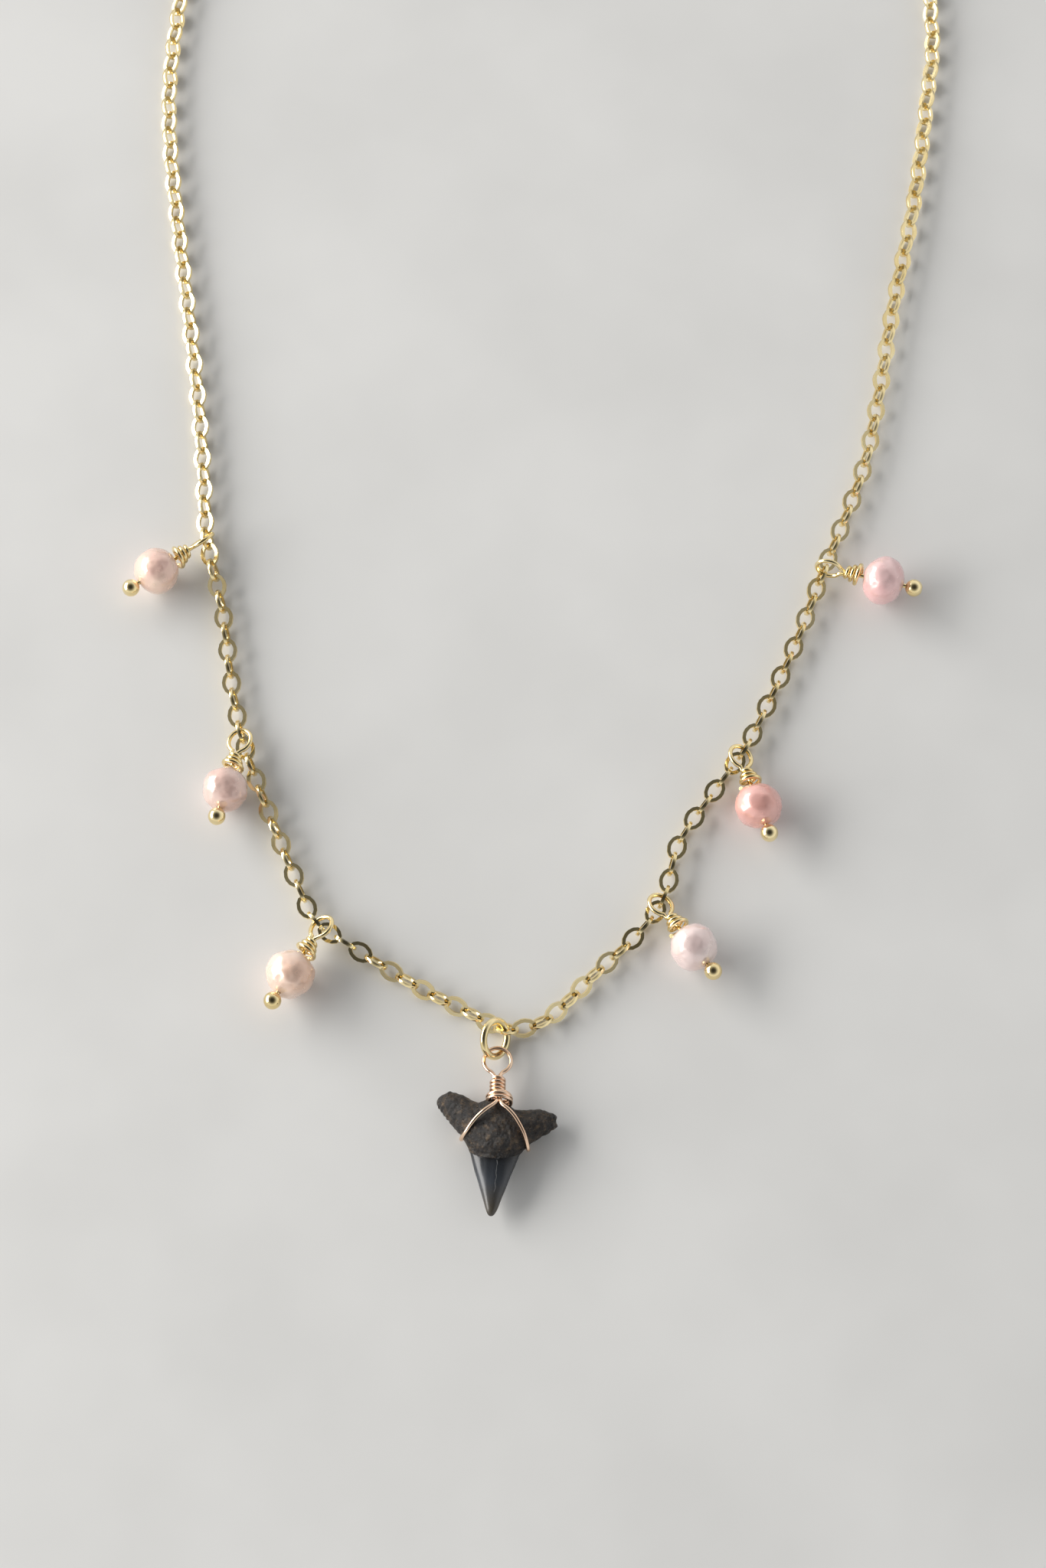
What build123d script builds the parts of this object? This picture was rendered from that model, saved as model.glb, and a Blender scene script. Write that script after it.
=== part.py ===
from build123d import *
import os
from math import ceil, cos, dist, pi, radians, sin, sqrt

# All sizes are in millimetres. The necklace lies on the plane z = 0.

# Chain links, flat oval rings that hang in each other
link_length = 2.92
link_width = 2.10
link_end_radius = 1.00
link_wall = 0.34
link_thickness = 0.34
link_gap = 0.27          # free way between two hooked links when the chain lies straight
link_sag = 0.03          # how far a flat link hangs below its steep neighbours
end_roll = 75.0          # roll about the chain of the links at the clasp, in degrees
cross_roll = 85.0        # turn from one link to the next
curve_steps = 40         # places worked out between two points of the chain's route

# Clasp, a plain closed bar with an eye at each end
clasp_length = 9.0
clasp_bar_width = 2.4
clasp_eye_radius = 1.30
clasp_eye_hole = 0.80
clasp_thickness = 0.50
clasp_play = 0.30        # free way between an end link and its eye

# Ball head pins: one wire with its loop, wrapped coil, stem and ball
pin_wire = 0.50
pin_loop_width = 3.20
pin_coil_turns = 3
pin_coil_pitch = 0.46
pin_collar_width = 3.10  # the last turn is laid wider, against the pearl
pin_neck = 0.20
ball_width = 1.90
bead_gap = 0.10          # free way round the pin and at both ends of a pearl
pearl_edge_share = 0.42  # radius of a pearl's outline farthest from the pin, of its width

# Jump ring in the middle link
ring_wire = 0.60
ring_width = 4.40

# Tooth wire: one wire with its loop, narrow and wide coils, front legs and back pass
tooth_wire_size = 0.40
tooth_loop_width = 3.30
tooth_loop_hang = (0.42, -0.50)  # where the loop crosses the ring's hole, in ring radii
narrow_coil_width = 1.80
narrow_coil_turns = 4
wide_coil_width = 2.90
wide_coil_turns = 4
tooth_coil_pitch = 0.38
tooth_neck = 0.40        # where the loop's wires run together above the coil
tooth_gap = 0.15         # free way between the wire and the tooth
behind_share = 0.75      # how far out the wire lies close behind the tooth
leg_spread = 0.30        # where the legs leave the wide coil, of its inner radius

# Tooth, measured lying with its crown towards -Y
root_width = 12.5
root_height = 6.0
root_thickness = 3.4
crown_length = 7.0
crown_width = 6.2
crown_thickness = 2.5

crown_back_lift = 0.3    # how much of the crown's lost thickness is taken off its back
coil_height_share = 0.60  # height of the coil's end on the root's thickness
coil_seat_share = 0.80   # height of the notch between the lobes on the root
coil_seat_gap = 0.15
coil_side = 0.35         # how far the coil lies to the right of the crown's middle

# Where the clasp lies, at the back of the loop
clasp_place = (0.5, 96.5)

# The chain's route in plan from the clasp down the left side and up the right side,
# with what hangs from the link at a point
chain_route = [
    (-20.0, 91.0, ""),
    (-33.0, 80.5, ""),
    (-40.8, 66.0, ""),
    (-43.2, 52.5, ""),
    (-44.1, 42.0, ""),
    (-43.8, 33.0, ""),
    (-42.6, 22.6, ""),
    (-41.1, 11.5, ""),
    (-39.8, 1.3, ""),
    (-38.9, -8.3, ""),
    (-38.3, -16.3, "pearl_1"),
    (-36.3, -25.3, ""),
    (-35.2, -33.3, ""),
    (-34.0, -39.4, "pearl_2"),
    (-32.3, -44.7, ""),
    (-29.7, -51.5, ""),
    (-27.4, -57.2, ""),
    (-25.5, -61.2, "pearl_3"),
    (-21.6, -64.0, ""),
    (-15.2, -68.1, ""),
    (-9.4, -71.2, ""),
    (-5.3, -73.1, "jump_ring"),
    (-0.95, -72.0, ""),
    (4.0, -67.1, ""),
    (8.6, -62.6, ""),
    (11.5, -58.4, "pearl_4"),
    (13.2, -52.2, ""),
    (17.3, -45.9, ""),
    (20.4, -41.4, "pearl_5"),
    (23.2, -35.7, ""),
    (26.3, -28.7, ""),
    (29.3, -20.7, "pearl_6"),
    (34.0, -8.4, ""),
    (36.1, 0.8, ""),
    (38.2, 12.6, ""),
    (40.9, 25.6, ""),
    (42.8, 38.5, ""),
    (43.8, 49.0, ""),
    (42.0, 64.5, ""),
    (34.0, 80.5, ""),
    (21.0, 91.0, ""),
]

# The pearls: width across the pin, length along it, heading of the drop in plan,
# roll of the link that carries it, where the loop crosses that link's hole (along and up,
# as shares of the hole), and the loop's turn there
drop_columns = ("width", "length", "heading", "roll", "along", "up", "turn")
drops = {
    "pearl_1": (5.2, 4.8, -142, 60, 0.00, 0.36, 10),
    "pearl_2": (5.0, 4.8, -103, 75, -0.10, 0.36, -10),
    "pearl_3": (5.3, 5.1, -120, 82, 0.00, 0.36, 0),
    "pearl_4": (5.1, 4.9, -56, 82, 0.08, 0.00, 0),
    "pearl_5": (5.1, 4.9, -73, 75, 0.00, 0.36, 0),
    "pearl_6": (5.3, 4.7, -15, 68, 0.00, 0.36, 0),
}

# The jump ring leaves the middle link on this heading, where it crosses that link's hole
# (along and up, as shares of the hole) and its turn there
ring_heading = -110.0
ring_along = 0.05
ring_up = 0.40
ring_turn = 20.0
middle_roll = 45.0

# How far the chain is rolled in the middle of each run of links, by what hangs at its end
run_rolls = {
    "pearl_1": 48.0,
    "pearl_2": 76.0,
    "pearl_3": 66.0,
    "jump_ring": 48.0,
    "pearl_4": 52.0,
    "pearl_5": 74.0,
    "pearl_6": 74.0,
    "": 45.0,
}

# The tooth hangs on this heading
tooth_heading = -91.0

# Crown sections from the root to the tip: way along the crown, left and right edges, thickness
crown_sections = [
    (-0.16, -0.44, 0.50, 1.00),
    (0.16, -0.34, 0.41, 0.96),
    (0.41, -0.25, 0.31, 0.84),
    (0.66, -0.17, 0.20, 0.66),
    (0.87, -0.10, 0.11, 0.44),
    (0.98, -0.04, 0.02, 0.18),
]

# Root sections from the left lobe to the right: way across, lower and upper edges, thickness
root_sections = [
    (-0.470, 0.80, 0.93, 0.16),
    (-0.400, 0.64, 1.05, 0.56),
    (-0.320, 0.42, 1.05, 0.70),
    (-0.250, 0.22, 0.98, 0.76),
    (-0.130, -0.12, 0.81, 0.92),
    (0.010, -0.18, 0.77, 1.00),
    (0.160, -0.15, 0.71, 0.94),
    (0.260, -0.01, 0.72, 0.78),
    (0.350, 0.16, 0.76, 0.71),
    (0.470, 0.38, 0.74, 0.50),
    (0.530, 0.54, 0.66, 0.14),
]

# The tooth wire on the tooth, from the coil over the left shoulder to its edge, and from
# the right edge back: shares of the root's width, height and thickness
wire_over_tooth = [
    (-0.080, 0.60, 0.97),
    (-0.160, 0.44, 0.94),
    (-0.230, 0.28, 0.73),
    (-0.278, 0.15, 0.36),
]
wire_back_over_tooth = [
    (0.302, -0.02, 0.36),
    (0.272, 0.18, 0.78),
    (0.215, 0.42, 0.90),
    (0.130, 0.60, 0.97),
]


def curve_point(before, start, end, after, share):
    """Point of a smooth curve through four points, between the middle two."""
    return tuple(
        0.5 * (2 * b + (c - a) * share + (2 * a - 5 * b + 4 * c - d) * share**2
               + (3 * b - a - 3 * c + d) * share**3)
        for a, b, c, d in zip(before, start, end, after))


def stretch_points(points, first, last):
    """Close points along the route from one of its points to another."""
    places = []
    for i in range(first, last):
        before = points[i - 1] if i else points[-2]
        after = points[i + 2] if i + 2 < len(points) else points[1]
        for k in range(curve_steps):
            share = k / curve_steps
            places.append(curve_point(before, points[i], points[i + 1], after, share))
    return places + [points[last]]


def even_steps(places, longest_step):
    """Even places along a stretch, an even number of steps that are no longer than asked."""
    lengths = [0.0]
    for a, b in zip(places, places[1:]):
        lengths.append(lengths[-1] + dist(a, b))
    steps = 2 * ceil(lengths[-1] / longest_step / 2)
    found = []
    k = 0
    for step in range(steps):
        want = lengths[-1] * step / steps
        while lengths[k + 1] < want:
            k += 1
        share = (want - lengths[k]) / (lengths[k + 1] - lengths[k])
        found.append(tuple(a + (b - a) * share for a, b in zip(places[k], places[k + 1])))
    return found


def rest_height(roll):
    """Height of a link's centre when it rests on its lower edge."""
    return link_width / 2 * abs(sin(radians(roll))) + link_thickness / 2 * abs(cos(radians(roll)))


# Where the end links hang in the clasp's eyes
eye_place = clasp_length / 2 - clasp_eye_radius
eye_to_link = clasp_eye_hole + link_length / 2 - link_wall - clasp_play
clasp_reach = eye_place + eye_to_link

link_pitch = link_length - 2 * link_wall - link_gap
route_start = (clasp_place[0] - clasp_reach, clasp_place[1])
route_end = (clasp_place[0] + clasp_reach, clasp_place[1])
route = [route_start] + [(x, y) for x, y, _ in chain_route] + [route_end]
hanging = {i + 1: name for i, (_, _, name) in enumerate(chain_route) if name}


def carrier_roll(place):
    """Roll of the link at a stop of the route."""
    name = hanging.get(place, "")
    if name in drops:
        return dict(zip(drop_columns, drops[name]))["roll"]
    return middle_roll if name else end_roll


def link_places():
    """Centre and roll of every link in order, and the index of each link that carries something."""
    stops = [0] + sorted(hanging) + [len(route) - 1]
    centres = []
    rolls = []
    carriers = {}
    for first, last in zip(stops, stops[1:]):
        if first in hanging:
            carriers[hanging[first]] = len(centres)
        start_roll = carrier_roll(first)
        end_of_run = carrier_roll(last)
        steps = even_steps(stretch_points(route, first, last), link_pitch)
        bend = run_rolls[hanging.get(last, "")] - (start_roll + end_of_run) / 2
        for k, place in enumerate(steps):
            share = k / len(steps)
            level = start_roll + (end_of_run - start_roll) * share + bend * sin(pi * share) ** 2
            centres.append(place)
            rolls.append(level - cross_roll * (k % 2))
    centres.append(route[-1])
    rolls.append(carrier_roll(len(route) - 1))
    return centres, rolls, carriers


def link_frames():
    """A plane for every link: x along the link, y across it, z through its hole."""
    centres, rolls, carriers = link_places()
    count = len(centres)
    heights = []
    for i in range(count):
        beside = [rest_height(rolls[k]) for k in (i - 1, i + 1) if 0 <= k < count]
        heights.append(max(rest_height(rolls[i]), max(beside) - link_sag))
    points = [Vector(x, y, z) for (x, y), z in zip(centres, heights)]
    frames = []
    for i in range(count):
        along = points[min(i + 1, count - 1)] - points[max(i - 1, 0)]
        along = along.normalized()
        right = Vector(along.Y, -along.X, 0).normalized()
        upwards = right.cross(along)
        turn = radians(rolls[i])
        across = right * cos(turn) + upwards * sin(turn)
        frames.append(Plane(points[i], x_dir=along, z_dir=along.cross(across)))
    return frames, carriers


def oval(length, width, end_radius):
    """Closed oval of two end arcs and two side arcs that meet smoothly."""
    end_centre = length / 2 - end_radius
    side_radius = (end_centre**2 + width**2 / 4 - end_radius**2) / (width - 2 * end_radius)
    side_centre = side_radius - width / 2
    reach = sqrt(end_centre**2 + side_centre**2)
    x = end_centre + end_radius * end_centre / reach
    y = end_radius * side_centre / reach
    return Wire([
        ThreePointArc((x, y), (0, width / 2), (-x, y)),
        ThreePointArc((-x, y), (-length / 2, 0), (-x, -y)),
        ThreePointArc((-x, -y), (0, -width / 2), (x, -y)),
        ThreePointArc((x, -y), (length / 2, 0), (x, y)),
    ])


def link():
    """One link about the origin."""
    outer = Face(oval(link_length, link_width, link_end_radius))
    inner = Face(oval(link_length - 2 * link_wall, link_width - 2 * link_wall,
                      link_end_radius - link_wall))
    return extrude(outer - inner, link_thickness / 2, both=True)


def chain(frames):
    """Every link of the chain."""
    one = link().solid()
    return Compound([one.moved(frame.location) for frame in frames])


def clasp(frames):
    """Closed bar with an eye at each end, level with the end links."""
    bar = extrude(Rectangle(clasp_length - 4 * clasp_eye_radius, clasp_bar_width),
                  clasp_thickness / 2, both=True)
    for side in (-1, 1):
        bar += Pos(side * eye_place, 0, 0) * extrude(
            Circle(clasp_eye_radius), clasp_thickness / 2, both=True)
        bar += Pos(side * (eye_place - clasp_eye_radius), 0, 0) * extrude(
            Rectangle(clasp_eye_radius, clasp_eye_radius), clasp_thickness / 2, both=True)
    for side in (-1, 1):
        bar -= Pos(side * eye_place, 0, 0) * extrude(
            Circle(clasp_eye_hole), clasp_thickness, both=True)
    middle = (frames[0].origin + frames[-1].origin) * 0.5
    return Pos(middle) * bar


def loop_plane(carrier, along, up, turn, radius, aim):
    """Plane of a loop that crosses a link's hole and leans towards its aim."""
    hole_x = (link_length / 2 - link_wall) * along
    hole_y = (link_width / 2 - link_wall) * up
    crossing = carrier.from_local_coords(Vector(hole_x, hole_y, 0))
    tangent = carrier.z_dir * cos(radians(turn)) + carrier.x_dir * sin(radians(turn))
    normal = tangent.cross(aim).normalized()
    outward = normal.cross(tangent)
    if outward.dot(aim) < 0:
        outward = outward * -1
    return Plane(crossing + outward * radius, x_dir=aim, z_dir=normal)


def aim_direction(heading, slope):
    """Unit direction from a plan heading in degrees and a rise over its length."""
    level = sqrt(1 - slope**2)
    return Vector(level * cos(radians(heading)), level * sin(radians(heading)), slope)


def coil_profile(start, turns, pitch, wire, core_radius):
    """Outline points and arcs of stacked wire turns beside an axis along x."""
    arcs = []
    bulge = core_radius + wire
    for k in range(turns):
        left = start + k * pitch
        arcs.append(ThreePointArc((left, core_radius + wire / 2),
                                  (left + pitch / 2, bulge),
                                  (left + pitch, core_radius + wire / 2)))
    return arcs


# Lengths along a pin, measured from the centre of its loop
pin_loop_radius = (pin_loop_width - pin_wire) / 2
pin_coil_start = pin_loop_width / 2 + pin_neck
pin_collar_start = pin_coil_start + pin_coil_turns * pin_coil_pitch
pin_coil_end = pin_collar_start + pin_wire


def pearl_centre(length):
    """Distance from the centre of a pin's loop to the centre of its pearl."""
    return pin_coil_end + bead_gap + length / 2


def drop_plane(frames, carriers, name):
    """Plane of a drop's loop, sloped so that the pearl rests on the ground."""
    row = dict(zip(drop_columns, drops[name]))
    carrier = frames[carriers[name]]
    slope = 0.0
    for _ in range(4):
        aim = aim_direction(row["heading"], slope)
        plane = loop_plane(carrier, row["along"], row["up"], row["turn"], pin_loop_radius, aim)
        slope = (row["width"] / 2 - plane.origin.Z) / pearl_centre(row["length"])
    return plane, row


def pearl(row):
    """Drilled pearl on the x axis."""
    width = row["width"]
    outline = Rot(0, 0, 90) * Face(oval(width, row["length"], width * pearl_edge_share))
    body = revolve(outline & Pos(0, width / 2) * Rectangle(2 * row["length"], width), Axis.X)
    hole = Rot(0, 90, 0) * Cylinder(pin_wire / 2 + bead_gap, 2 * row["length"])
    return Pos(pearl_centre(row["length"]), 0, 0) * (body - hole)


def ball_pin(row):
    """Ball head pin along the x axis, with its loop about the origin."""
    radius = pin_wire / 2
    ball_radius = ball_width / 2
    ball_middle = pearl_centre(row["length"]) + row["length"] / 2 + bead_gap + ball_radius
    ball_start = ball_middle - sqrt(ball_radius**2 - radius**2)
    coil = coil_profile(pin_coil_start, pin_coil_turns, pin_coil_pitch, pin_wire, radius)
    collar = pin_collar_width / 2 - radius
    lines = [
        Line((pin_loop_radius, 0), (pin_loop_radius, radius)),
        Line((pin_loop_radius, radius), (pin_coil_start, radius)),
        Line((pin_coil_start, radius), (pin_coil_start, pin_wire)),
        *coil,
        Line((pin_collar_start, pin_wire), (pin_collar_start, collar)),
        ThreePointArc((pin_collar_start, collar),
                      ((pin_collar_start + pin_coil_end) / 2, collar + radius),
                      (pin_coil_end, collar)),
        Line((pin_coil_end, collar), (pin_coil_end, radius)),
        Line((pin_coil_end, radius), (ball_start, radius)),
        ThreePointArc((ball_start, radius), (ball_middle, ball_radius),
                      (ball_middle + ball_radius, 0)),
        Line((ball_middle + ball_radius, 0), (pin_loop_radius, 0)),
    ]
    turned = revolve(make_face(lines), Axis.X)
    return turned + Torus(pin_loop_radius, radius)


ring_radius = (ring_width - ring_wire) / 2


def jump_ring_plane(frames, carriers):
    """Plane of the jump ring in the middle link."""
    aim = aim_direction(ring_heading, 0)
    middle = frames[carriers["jump_ring"]]
    return loop_plane(middle, ring_along, ring_up, ring_turn, ring_radius, aim)


def tooth_section(plane, left, right, back, front):
    """Ellipse between its edges and faces in a plane."""
    middle = Pos((left + right) / 2, (back + front) / 2)
    return plane * middle * Ellipse((right - left) / 2, (front - back) / 2)


def tooth():
    """The tooth on its back, with the middle of the crown's base at the origin."""
    root = loft([
        tooth_section(Plane(Vector(x * root_width, 0, 0), x_dir=Vector(0, 1, 0),
                            z_dir=Vector(1, 0, 0)),
                      low * root_height, high * root_height, 0, thick * root_thickness)
        for x, low, high, thick in root_sections])
    crown = loft([
        tooth_section(Plane(Vector(0, -y * crown_length, 0), x_dir=Vector(1, 0, 0),
                            z_dir=Vector(0, -1, 0)),
                      left * crown_width, right * crown_width,
                      (1 - thick) * crown_thickness * crown_back_lift,
                      (1 - thick) * crown_thickness * crown_back_lift + thick * crown_thickness)
        for y, left, right, thick in crown_sections])
    return root + crown


# Lengths along the tooth wire, measured from the centre of its loop
tooth_loop_radius = (tooth_loop_width - tooth_wire_size) / 2
narrow_start = tooth_loop_width / 2 + tooth_neck
wide_start = narrow_start + narrow_coil_turns * tooth_coil_pitch
coil_end = wide_start + wide_coil_turns * tooth_coil_pitch
tooth_lift = tooth_wire_size + tooth_gap


def tooth_planes(ring):
    """Plane of the tooth wire's loop, x towards the tooth, and the plane of the tooth."""
    level = aim_direction(tooth_heading, 0)
    start = ring.from_local_coords(Vector(*tooth_loop_hang, 0) * ring_radius)
    end_height = tooth_lift + coil_height_share * root_thickness
    slope = (end_height - start.Z) / (tooth_loop_radius + coil_end)
    aim = aim_direction(tooth_heading, slope)
    loop_centre = start + aim * tooth_loop_radius
    side = Vector(-level.Y, level.X, 0)
    loop = Plane(loop_centre, x_dir=aim, z_dir=aim.cross(side))
    coil_tip = loop_centre + aim * coil_end
    root_top = (coil_seat_share * root_height) + coil_seat_gap
    origin = coil_tip + level * root_top + side * -coil_side
    base = Plane(Vector(origin.X, origin.Y, tooth_lift), x_dir=side, z_dir=Vector(0, 0, 1))
    return loop, base


def wire_legs(loop, base):
    """The wire from the coil over one shoulder, behind the tooth and over the other."""
    clear = tooth_gap + tooth_wire_size / 2

    def beside_tooth(x, y, z):
        return base.from_local_coords(
            Vector(x * root_width, y * root_height, z * root_thickness + clear))

    def behind_tooth(x, y, _):
        return base.from_local_coords(
            Vector(x * root_width * behind_share, y * root_height, -clear))

    left = [beside_tooth(*row) for row in wire_over_tooth]
    right = [beside_tooth(*row) for row in wire_back_over_tooth]
    behind = [behind_tooth(*wire_over_tooth[-1]), behind_tooth(*wire_back_over_tooth[0])]
    across = (behind[1] - behind[0]).normalized()
    front = wide_coil_width / 2 - tooth_wire_size
    spread = front * leg_spread
    starts = [loop.from_local_coords(Vector(coil_end - tooth_wire_size, side, front))
              for side in (-spread, spread)]
    path = Wire([
        Spline([starts[0], *left, behind[0]], tangents=[loop.x_dir, across]),
        Line(*behind),
        Spline([behind[1], *right, starts[1]], tangents=[across, loop.x_dir * -1]),
    ])
    section = Plane(path @ 0, z_dir=path % 0) * Circle(tooth_wire_size / 2)
    return sweep(section, path=path)


def tooth_wire(loop, base):
    """Loop, narrow and wide coils and legs as one piece."""
    radius = tooth_wire_size / 2
    narrow = narrow_coil_width / 2 - tooth_wire_size
    wide = wide_coil_width / 2 - tooth_wire_size
    lines = [
        Line((tooth_loop_radius, 0), (tooth_loop_radius, radius)),
        Line((tooth_loop_radius, radius), (narrow_start, radius)),
        Line((narrow_start, radius), (narrow_start, narrow + radius)),
        *coil_profile(narrow_start, narrow_coil_turns, tooth_coil_pitch, tooth_wire_size, narrow),
        Line((wide_start, narrow + radius), (wide_start, wide + radius)),
        *coil_profile(wide_start, wide_coil_turns, tooth_coil_pitch, tooth_wire_size, wide),
        Line((coil_end, wide + radius), (coil_end, 0)),
        Line((coil_end, 0), (tooth_loop_radius, 0)),
    ]
    coil = revolve(make_face(lines), Axis.X) + Torus(tooth_loop_radius, radius)
    return (loop.location * coil) + wire_legs(loop, base)


def main():
    os.makedirs("parts", exist_ok=True)
    frames, carriers = link_frames()
    print("links", len(frames), carriers)
    pieces = {"chain": chain(frames), "clasp": clasp(frames)}
    for number, name in enumerate(drops, start=1):
        plane, row = drop_plane(frames, carriers, name)
        pieces[name] = plane.location * pearl(row)
        pieces["pin_" + str(number)] = plane.location * ball_pin(row)
    ring = jump_ring_plane(frames, carriers)
    pieces["jump_ring"] = ring.location * Torus(ring_radius, ring_wire / 2)
    loop, base = tooth_planes(ring)
    pieces["tooth"] = base.location * tooth()
    pieces["tooth_wire"] = tooth_wire(loop, base)
    for name, piece in pieces.items():
        export_step(piece, "parts/" + name + ".step")


main()
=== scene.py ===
from math import cos, pi, radians, sin, tau

import bmesh
import bpy
import numpy as np
from mathutils import Matrix, Vector, noise


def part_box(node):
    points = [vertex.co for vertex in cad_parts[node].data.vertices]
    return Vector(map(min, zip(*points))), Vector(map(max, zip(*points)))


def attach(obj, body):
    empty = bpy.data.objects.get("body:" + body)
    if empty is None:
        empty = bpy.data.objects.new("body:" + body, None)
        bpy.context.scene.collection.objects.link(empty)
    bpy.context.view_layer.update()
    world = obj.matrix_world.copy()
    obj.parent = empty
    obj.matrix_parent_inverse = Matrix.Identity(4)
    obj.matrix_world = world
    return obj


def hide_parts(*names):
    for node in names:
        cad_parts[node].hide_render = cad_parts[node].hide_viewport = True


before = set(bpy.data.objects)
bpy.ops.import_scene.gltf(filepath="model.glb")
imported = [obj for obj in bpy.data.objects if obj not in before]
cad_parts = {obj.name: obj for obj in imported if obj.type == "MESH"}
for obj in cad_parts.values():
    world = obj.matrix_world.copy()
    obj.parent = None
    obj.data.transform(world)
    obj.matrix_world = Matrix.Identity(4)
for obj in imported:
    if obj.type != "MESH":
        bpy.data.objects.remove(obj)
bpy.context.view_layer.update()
mm = 0.001
loopShare = 0.7  # of a loop's width: nearer to its end than this, a point is the loop's
print("frame loaded,", len(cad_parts), "nodes")

# every piece is shaped in millimetres about the origin, then put in its place in metres


def clearSelection():
    if bpy.context.object and bpy.context.object.mode != "OBJECT":
        bpy.ops.object.mode_set(mode="OBJECT")
    bpy.ops.object.select_all(action="DESELECT")


# the piece alone is selected and active
def only(piece):
    clearSelection()
    piece.select_set(True)
    bpy.context.view_layer.objects.active = piece


def editAll(piece):
    only(piece)
    bpy.ops.object.mode_set(mode="EDIT")
    bpy.ops.mesh.select_mode(type="VERT")
    bpy.ops.mesh.select_all(action="SELECT")


def leaveEdit():
    bpy.ops.object.mode_set(mode="OBJECT")


# in edit mode, only the points that pass the test stay selected
def pickPoints(piece, test):
    bpy.ops.mesh.select_all(action="DESELECT")
    mesh = bmesh.from_edit_mesh(piece.data)
    for vert in mesh.verts:
        vert.select = test(vert.co)
    mesh.select_flush_mode()
    bmesh.update_edit_mesh(piece.data)


def addObject(name, data):
    added = bpy.data.objects.new(name, data)
    bpy.context.scene.collection.objects.link(added)
    return added


# a copy of a node's solids, free to be changed
def copyOf(node):
    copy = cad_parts[node].copy()
    copy.data = copy.data.copy()
    copy.parent = None
    bpy.context.scene.collection.objects.link(copy)
    return copy


def bakePlace(piece):
    only(piece)
    bpy.ops.object.transform_apply(location=True, rotation=True, scale=True)


def mergeAndFaceOut(piece, near=0.002):
    editAll(piece)
    bpy.ops.mesh.remove_doubles(threshold=near)
    bpy.ops.mesh.normals_make_consistent(inside=False)
    leaveEdit()


def smooth(piece, angle=60):
    only(piece)
    bpy.ops.object.shade_smooth_by_angle(angle=radians(angle))


def applyModifier(piece, kind, **settings):
    only(piece)
    bpy.ops.object.modifier_add(type=kind)
    modifier = piece.modifiers[-1]
    for key, value in settings.items():
        setattr(modifier, key, value)
    bpy.ops.object.modifier_apply(modifier=modifier.name)


def joinPieces(pieces, name):
    only(pieces[0])
    for piece in pieces:
        piece.select_set(True)
    bpy.ops.object.join()
    pieces[0].name = name
    return pieces[0]


# from its own millimetres to its place in the frame
def putAt(piece, place):
    piece.data.transform(place @ Matrix.Scale(mm, 4))


def dress(piece, finish, node):
    piece.data.materials.clear()
    piece.data.materials.append(finish)
    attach(piece, "root")
    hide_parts(node)


# centre and axes of some faces, longest spread first, weighed by area
def spreadOf(mesh, keep=None):
    count = len(mesh.polygons)
    centres = np.empty(count * 3)
    areas = np.empty(count)
    mesh.polygons.foreach_get("center", centres)
    mesh.polygons.foreach_get("area", areas)
    centres = centres.reshape(-1, 3)
    if keep is not None:
        chosen = keep(centres)
        centres, areas = centres[chosen], areas[chosen]
    middle = (centres * areas[:, None]).sum(0) / areas.sum()
    away = centres - middle
    axes = np.linalg.eigh((away * areas[:, None]).T @ away)[1]
    return middle, [axes[:, 2], axes[:, 1], axes[:, 0]]


# direction through a wire loop, upwards, from the faces that are kept
def throughLoop(mesh, keep):
    through = spreadOf(mesh, keep)[1][2]
    return -through if through[2] < 0 else through


def placeFrom(middle, along, across):
    x = Vector(along).normalized()
    z = x.cross(Vector(across)).normalized()
    y = z.cross(x)
    place = Matrix((x, y, z)).transposed().to_4x4()
    place.translation = Vector(middle)
    return place


def pointsOf(mesh):
    points = np.empty(len(mesh.vertices) * 3)
    mesh.vertices.foreach_get("co", points)
    return points.reshape(-1, 3)


def between(low, high, share):
    return low + (high - low) * share


# 0 up to the start, 1 from a length after it, rising evenly between them
def eased(value, start, length):
    return max(0.0, min(1.0, (value - start) / length))


# a wire bent along points, capped at its ends
def bendWire(name, points, wire):
    curve = bpy.data.curves.new(name, "CURVE")
    curve.dimensions = "3D"
    curve.bevel_depth = wire / 2
    curve.bevel_resolution = 3
    curve.use_fill_caps = True
    line = curve.splines.new("POLY")
    line.points.add(len(points) - 1)
    for knot, spot in zip(line.points, points):
        knot.co = (*spot, 1)
    only(addObject(name, curve))
    bpy.ops.object.convert(target="MESH")
    return bpy.context.object


# a wire's round section, turned about the z axis into a ring
def startRing(wire, radius, sides, turn=0.0):
    clearSelection()
    bpy.ops.mesh.primitive_circle_add(vertices=sides, radius=wire / 2, location=(radius, 0, 0),
                                      rotation=(pi / 2, turn, 0))
    ring = bpy.context.object
    bakePlace(ring)
    editAll(ring)
    return ring


def spinRing(steps):
    bpy.ops.mesh.select_all(action="SELECT")
    bpy.ops.mesh.spin(steps=steps, angle=tau, center=(0, 0, 0), axis=(0, 0, 1))


# materials; a noise is given as its scale and detail, and a relief as strength and millimetres

def newFinish(name, constants):
    finish = bpy.data.materials.new(name)
    finish.use_nodes = True
    tree = finish.node_tree
    shader = tree.nodes["Principled BSDF"]
    for socket, value in constants.items():
        shader.inputs[socket].default_value = value
    place = tree.nodes.new("ShaderNodeTexCoord").outputs["Object"]
    return finish, tree, shader, place


def noiseNode(tree, place, scale, detail, rough=0.5):
    node = tree.nodes.new("ShaderNodeTexNoise")
    node.inputs["Scale"].default_value = scale
    node.inputs["Detail"].default_value = detail
    node.inputs["Roughness"].default_value = rough
    tree.links.new(place, node.inputs["Vector"])
    return node.outputs["Fac"]


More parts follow.
